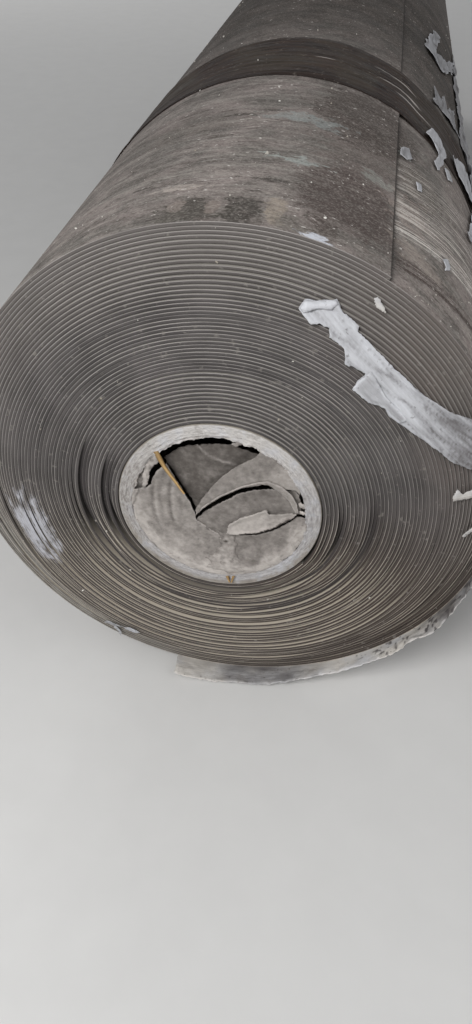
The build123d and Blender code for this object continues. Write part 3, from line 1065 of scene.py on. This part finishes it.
FLAP = [
    (56.6, 68.6), (54.2, 65.4), (52.3, 62.0), (55.6, 59.4), (58.5, 57.0), (61.6, 56.4), (64.7, 55.5),
    (66.4, 52.6), (70.3, 49.9), (73.9, 52.0), (64.8, 60.2), (58.6, 70.2),
]
RIGHT_SCRAP = [
    (95.4, 16.5), (96.5, 20.5), (99.0, 17.1), (104.3, 19.0), (109, 17), (108, 13.5), (99.9, 14.6),
    (96.0, 14.2),
]
LOW_SCRAP = [(102.9, -6.4), (107.8, -0.7), (111, 1.5), (110.5, -2.2), (104.0, -7.4)]
FLAKE = [(56.6, 95.2), (57.9, 95.6), (59.4, 93.6), (61.2, 90.5), (59.0, 91.3), (57.1, 93.0)]
# Flakes of film at the lower left of the rim, from the roll's middle, with their tones
RIM_FLAKES = [
    ([(-51.7, -89.9), (-47.8, -87.2), (-42.8, -89.7), (-45.4, -93.1), (-50.0, -91.6)], 0.72),
    ([(-63.4, -93.2), (-61.0, -88.8), (-57.3, -88.8), (-51.7, -89.9), (-56.7, -92.7)], 0.5),
    ([(-58.9, -93.5), (-57.0, -92.9), (-54.7, -99.9), (-56.0, -103.5), (-56.8, -98.9)], 0.66),
]
DIAGONAL = 0.7071


def over_edges(u, v, lift):
    """A place on the stepped end, this many millimetres over its edges."""
    radius = math.hypot(u, v) * MM
    return (ROLL_X + u * MM, RIM_Y - proud(radius) - lift * MM, ROLL_HEIGHT + v * MM)


def make_strip(finish):
    def pulled(place):
        """The strip's tip hangs a little further up and left."""

        def placed(u, v, far):
            share = smooth((88 - u) / 45)
            return place(u - 1.7 * share, v + 2.3 * share, far)

        return placed

    def strip_run(u, v):
        """How far along and across the strip a place is, and how high on its long folds."""
        along, across = (u - v) * DIAGONAL, (u + v) * DIAGONAL
        return along, across, abs(rough(along * 0.022, across * 0.2, 3, 2))

    def strip(u, v, far):
        along, across, fold = strip_run(u, v)
        folds = fold * 2.2 + 0.6 * abs(rough(along * 0.07, across * 0.45, 7))
        loose = 0.7 * by_edge(far, 3) * (0.5 + crumple(u, v, 0.1, 12))
        return over_edges(u, v, 1.25 + max(folds, -0.3) + loose)

    def shade(u, v, far):
        along, across, fold = strip_run(u, v)
        greyer = smooth((u - 70) / 30)
        streak = rough(along * 0.03, across * 0.9, 8) + 0.6 * rough(along * 0.1, across * 0.3, 9)
        tone = 0.68 - 0.34 * greyer + 0.2 * streak * (0.6 + greyer)
        # painted shade along the bottoms of the long folds
        return tone - 0.25 * smooth(1 - fold / 0.07) + 0.1 * by_edge(far, 0.6)

    def tip(u, v, far):
        return over_edges(u, v, 2.6 + 0.9 * smooth(far / 1.5) + 0.3 * crumple(u, v, 0.4, 5))

    def flap(u, v, far):
        return over_edges(u, v, 2.3 + 0.7 * smooth(far / 2.5) + 0.4 * crumple(u, v, 0.25, 6))

    def flap_tone(u, v, far):
        lower_edge = by_edge(far, 1.4) * smooth((128 - u - v) / 3)
        return 0.58 + 0.36 * lower_edge + 0.25 * rough((u - v) * 0.04, (u + v) * 0.3, 2)

    def tip_tone(u, v, far):
        return 0.84 - 0.24 * by_edge(far, 0.8)

    slant = -math.pi / 4
    patches = [
        torn_patch(STRIP, 0.8, 0.3, 21, pulled(strip), shade, slant),
        torn_patch(TIP_FOLD, 0.6, 0.3, 22, pulled(tip), tip_tone, -0.2),
        torn_patch(FLAP, 0.7, 0.4, 23, pulled(flap), flap_tone, slant),
        torn_patch(RIGHT_SCRAP, 0.6, 0.6, 24, flap, lambda u, v, far: 0.72),
        torn_patch(LOW_SCRAP, 0.6, 0.4, 25, flap, lambda u, v, far: 0.68),
        torn_patch(FLAKE, 0.5, 0.5, 26, pulled(strip), lambda u, v, far: 0.7),
    ]
    film = joined("wrapper_strip_torn", patches, finish, 0.0002)
    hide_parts("wrapper_strip")


# The tail's outline: millimetres round the outside from its first or last end, and in from the rim
TAIL_FRONT = [(7, 6), (5, 2), (-2, -4), (14, -9), (40, -12), (70, -10), (110, -9.5), (140, -12)]
TAIL_LAST = [(-8, -14), (-1, -13), (0, 4), (-12, 20), (-38, 15), (-55, 21), (-82, 16)]
TAIL_BACK = [(62, 21), (50, 13), (36, 20), (22, 12), (13, 13), (2, 11)]
OFF_FLOOR = 0.00012


def make_tail(finish):
    """The wrapper's tail: u is along the roll's outside, v is in from the rim."""
    first, last = (math.radians(end) * REACH for end in (101, 193))
    stretches = ((first, TAIL_FRONT), (last, TAIL_LAST), (first, TAIL_BACK))
    outline = [(end + u, v) for end, points in stretches for u, v in points]

    def place(u, v, far):
        angle = u / REACH
        ahead = smooth((2 - v) / 12)
        crumpled = 0.35 + 0.65 * smooth((150 - math.degrees(angle)) / 25)
        inwards = ahead * (0.8 + 1.7 * crumpled * (0.5 + rough(u * 0.09, v * 0.12, 2)))
        inwards += ahead * 0.5 * rough(u * 0.35, v * 0.4, 6) + 0.9 * smooth(-v / 12) * rough(u * 0.05, 0, 9)
        x, y, z = on_roll(angle, v * MM, OFF_FLOOR - max(inwards, -0.2) * MM)
        return (x, y, max(z, OFF_FLOOR + 0.0006 * max(0.0, rough(u * 0.12, v * 0.15, 4)) * ahead))

    def shade(u, v, far):
        angle = math.degrees(u / REACH)
        white = smooth((164 - angle) / 16) * smooth((angle - 120) / 14) + 0.55 * smooth((angle - 178) / 6)
        white += 0.5 * by_edge(far, 1.6) * smooth((-v - 4) / 4)
        holes = smooth((rough(u * 0.28, v * 0.36, 8) - 0.25) / 0.12) * smooth((150 - angle) / 10)
        return 0.36 + 0.62 * white + 0.16 * rough(u * 0.1, v * 0.3, 1) - 0.85 * holes

    film = joined("wrapper_tail_torn", [torn_patch(outline, 1.2, 0.7, 31, place, shade)], finish, 0.0001)
    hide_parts("wrapper_tail")


# Torn film left on the outside: each one's outline, as degrees and millimetres in from the rim, its tone
# and how loosely it lies
SIDE_SCRAPS = [
    ([(38.9, 203), (41.2, 222), (43.6, 226), (46.2, 217), (47.2, 205), (45.4, 180),
      (43.6, 165), (42.2, 172), (44.0, 195), (41.6, 199)], 0.62, 1.0),
    ([(43.9, 58), (45.6, 65), (46.2, 58), (45.4, 52), (44.2, 48)], 0.75, 0.6),
    ([(31.2, 147.5), (33.6, 156.2), (34.9, 145.6), (33.4, 139.5), (31.4, 140.1)], 0.42, 0.6),
    ([(50.0, 217), (53.5, 231), (60.6, 240), (68, 232), (66, 212), (60.8, 201.6),
      (53.7, 203.3)], 0.62, 1.6),
    ([(60.2, 178), (66.8, 213), (69.5, 200), (63, 160), (58.6, 135), (55.4, 129.6), (58, 150)], 0.62, 1.5),
    # the next five lie further along the roll, with lower tones: painted shade, where the lamp's light
    # falls off
    ([(40.3, 424), (43, 470), (47, 512), (51, 520), (49, 488), (46.4, 440), (52, 452),
      (62, 520), (60, 470), (50.3, 404), (42.7, 410)], 0.46, 1.6),
    ([(42.4, 285), (44.5, 300), (44, 328), (47.6, 314), (50, 345), (51.6, 322), (57, 354),
      (56.4, 320), (61, 312), (55, 300), (50.2, 294), (46, 296)], 0.36, 1.5),
    ([(60, 300), (61, 380), (60, 440), (63, 520), (66, 600), (69, 560), (67, 470),
      (69, 420), (67, 360), (71, 310), (66, 292)], 0.34, 1.4),
    ([(64, 250), (66, 300), (70, 350), (76, 372), (80, 330), (76, 290), (72, 256)], 0.34, 1.4),
    ([(72, 250), (76, 330), (84, 352), (88, 300), (82, 262)], 0.34, 1.6),
    ([(47, 186), (49, 190), (50, 178), (48, 172)], 0.6, 0.8),
    ([(36, 118), (37.5, 121), (38, 112), (36.6, 110)], 0.6, 0.6),
    ([(58, 92), (60, 104), (63, 108), (63.5, 92), (60, 84)], 0.55, 1.0),
]


def frayed(outline, seed):
    """An outline with a point every 6 mm or so, each one up to 1.3 mm off."""
    random.seed(seed)
    edge = []
    for (u, v), (next_u, next_v) in sides(outline):
        count = max(1, round(math.hypot(next_u - u, next_v - v) / 6))
        for n in range(count):
            off = [random.uniform(-1, 1) * (0.4 if n == 0 else 1.3) for _ in range(2)]
            edge.append((u + (next_u - u) * n / count + off[0], v + (next_v - v) * n / count + off[1]))
    return edge


def side_scrap(number, outline, tone, loose):
    flat = frayed([(math.radians(angle) * REACH, depth) for angle, depth in outline], number)

    def place(u, v, far):
        wave = 1.5 * abs(rough(u * 0.08, v * 0.02, number, 2))
        wave += 0.15 * abs(rough(u * 0.3, v * 0.08, number))
        raised = by_edge(far, 4) * (0.3 + 1.2 * rough(u * 0.05, v * 0.03, number + 9, 2))
        over_band = 1.1 * smooth((v - 195) / 5) * smooth((290 - v) / 6)
        lift = 0.4 + over_band + min(loose * (wave + max(raised, 0.0)), 5.0)
        return on_roll(u / REACH, v * MM, lift * MM)

    def shade(u, v, far):
        crease = abs(rough(u * 0.08, v * 0.02, number, 2))
        streak = rough(u * 0.4, v * 0.04, number)
        # painted shade along the bottoms of the creases
        return tone + 0.16 * streak - 0.3 * smooth(1 - crease / 0.07) + 0.2 * by_edge(far, 0.7)

    return torn_patch(flat, 1.2, 0.35, 40 + number, place, shade, math.pi / 2)


def rim_flake(number, outline, tone):
    def place(u, v, far):
        return over_edges(u, v, 2.2 + 0.5 * crumple(u, v, 0.3, number))

    def shade(u, v, far):
        return tone + 0.3 * crumple(u, v, 0.5, number)

    return torn_patch(outline, 0.6, 0.6, 80 + number, place, shade, -0.6)


def make_scraps(finish):
    patches = [side_scrap(number, *scrap) for number, scrap in enumerate(SIDE_SCRAPS)]
    patches += [rim_flake(number, *flake) for number, flake in enumerate(RIM_FLAKES)]
    film = joined("wrapper_scraps", patches, finish, 0.0002)


# Glints on the stretch film: depth, from angle, to angle
GLINTS = [(0.2425, 8.0, 36.0), (0.2605, 24.0, 34.0), (0.2315, 31.0, 40.0)]


def stretch_finish():
    made, tree, shader = material("stretch film", 0.4, 0.15)
    x, y, z = tree.parts(tree.place())
    angle = x.arctan2(z - ROLL_HEIGHT)
    depth = y - RIM_Y
    streak = tree.pattern(angle * 4, depth * 190, 0.0, 4.0, 0.6)
    patch = tree.pattern(angle * 5, depth * 14, 2.0)
    colour = tree.blend(streak.rises(0.3, 0.7), (42, 34, 31), (72, 61, 55))
    colour = colour.coats((patch, 0.4, 0.65, 0.45, (78, 71, 61)))
    colour = colour.coat(depth.rises(BAND_NEAR, BAND_NEAR + 0.009, 0.8, 0.0), (42, 34, 31))
    wavy = depth + (patch - 0.5) * 0.006
    for at_depth, start, stop in GLINTS:
        glint = (angle * DEGREES).within(start, stop, 3.0)
        glint = glint * wavy.within(at_depth - 0.0004, at_depth + 0.0004, 0.0006)
        colour = colour.coat(glint * streak.rises(0.35, 0.55, 0.3, 0.9), (190, 182, 176))
    dust = tree.noise(tree.vector(x, y, z), 420.0)
    colour = colour.coats((dust, 0.6, 0.72, 0.3, (166, 158, 148)))
    alpha = streak.rises(0.25, 0.7, 0.72, 0.96)
    feed(tree, shader, colour, streak.rises(0.35, 0.7, 0.34, 0.6), streak, 0.5, 0.0012, alpha)
    return made


def make_band(finish):
    """The stretch film: its wrinkles run round the roll and thin out underneath."""
    columns, rows = 300, 64

    def place(row, column):
        angle = FULL_TURN * column / columns - math.pi
        degrees = math.degrees(angle)
        step = TURN_PITCH * max(0.0, 1 - (degrees - LAP_DEGREES) % 360 / 7)
        on_top = smooth((150 - abs(degrees)) / 30)
        if row < rows:
            share = row / (rows - 1)
            depth = BAND_NEAR + (BAND_FAR - BAND_NEAR) * share
            c, s = math.cos(angle), math.sin(angle)
            ridge = 1 - abs(rough(c * 1.1, s * 1.1, depth * 120, 3)) * 3
            over = 0.16 + on_top * (0.55 * max(0.0, ridge) + 0.25 * rough(c * 3, s * 3, depth * 420) + 0.25)
            drawn = 0.0016 * rough(c * 2, s * 2, 7) * (1 if share < 0.5 else -1)
            depth += drawn * smooth(abs(share - 0.5) * 4 - 1)
        else:
            depth, over = ((BAND_FAR, 0.03), (BAND_NEAR, 0.03))[row - rows]
        return on_roll(angle, depth, max(over, 0.03) * MM + step)

    band = closed_shell("film_band_wrinkled", rows + 2, columns, place, finish)
    band.data.shade_smooth()
    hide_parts("film_band")


# Crumbs and dust


def make_crumbs(finish):
    """Crumbs on the turns' edges and on the outside, as points of the wound sheet's own run."""
    sizes = {"On the end": 45, "On the outside": 560, "Smallest": 0.00018, "Largest": 0.0009}
    tree, inputs, values = geometry_tree("crumbs", sizes)

    def chance(low, high, seed):
        inputs = {2: low, 3: high, "Seed": seed}
        return tree.node("FunctionNodeRandomValue", {"data_type": "FLOAT"}, inputs, 1)

    turn = chance(1.0, 46.0, 1)
    radius = ROLL_RADIUS - SHEET_THICKNESS / 2 - turn * TURN_PITCH
    angle = LAP - turn * FULL_TURN
    x, z = middle_of_sheet(turn, angle, radius)
    on_end = tree.vector(x, RIM_Y - slid_out(tree, turn, angle, radius), z)
    # over the roll's length, and up to 110 degrees either way from the top
    turn = chance(0.78, 1.39, 2).fraction()
    angle = LAP - turn * FULL_TURN
    radius = ROLL_RADIUS - turn * TURN_PITCH
    y = RIM_Y + chance(0.02, 1.0, 3) ** 1.7 * 1.04
    outside = tree.vector(radius * angle.sin() + ROLL_X, y, radius * angle.cos() + ROLL_HEIGHT)
    spread = ((inputs["On the end"], on_end), (inputs["On the outside"], outside))
    points = [tree.geo("Points", {"Count": count, "Position": place}) for count, place in spread]
    size = chance(0.0, 1.0, 4) ** 3 * (inputs["Largest"] - inputs["Smallest"]) + inputs["Smallest"]
    laid = {
        "Points": tree.together(points),
        "Instance": tree.geo("MeshIcoSphere", {"Radius": 1.0, "Subdivisions": 1}),
        "Rotation": tree.vector(chance(0, 6.28, 7), chance(0, 6.28, 8), chance(0, 6.28, 9)),
        "Scale": tree.vector(size * chance(0.6, 1.6, 5), size * chance(0.5, 1.2, 6), size * 0.6),
    }
    crumbs = grown("crumbs", tree, tree.geo("InstanceOnPoints", laid), values, finish)
    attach(crumbs, "root")


def crumb_finish():
    made, tree, shader = material("crumbs", 0.9)
    mixed = tree.noise(tree.place(), 160.0, 2.0)
    feed(tree, shader, tree.blend(mixed.rises(0.35, 0.65), (150, 142, 130), (222, 219, 212)))
    return made


make_wound_sheet(sheet_finish())
core_cardboard = core_finish()
torn_ply = toned_finish("torn ply", (70, 64, 59), (188, 181, 175), 0.85, 520.0, 0.9, 0.35, 0.35, 0.55)
make_core_tube(core_cardboard)
make_core_paper(torn_ply)
make_splinter(toned_finish("straw splinter", (136, 102, 58), (208, 174, 118), 0.7, 500.0, 0.4, 0.3, 0.2))
white_film = toned_finish(
    "white film", (93, 89, 89), (203, 204, 208), 0.5, 700.0, 0.14, 0.35, 0.5, 0.62, (207, 202, 195)
)
make_strip(white_film)
make_tail(white_film)
make_scraps(white_film)
make_band(stretch_finish())
make_crumbs(crumb_finish())
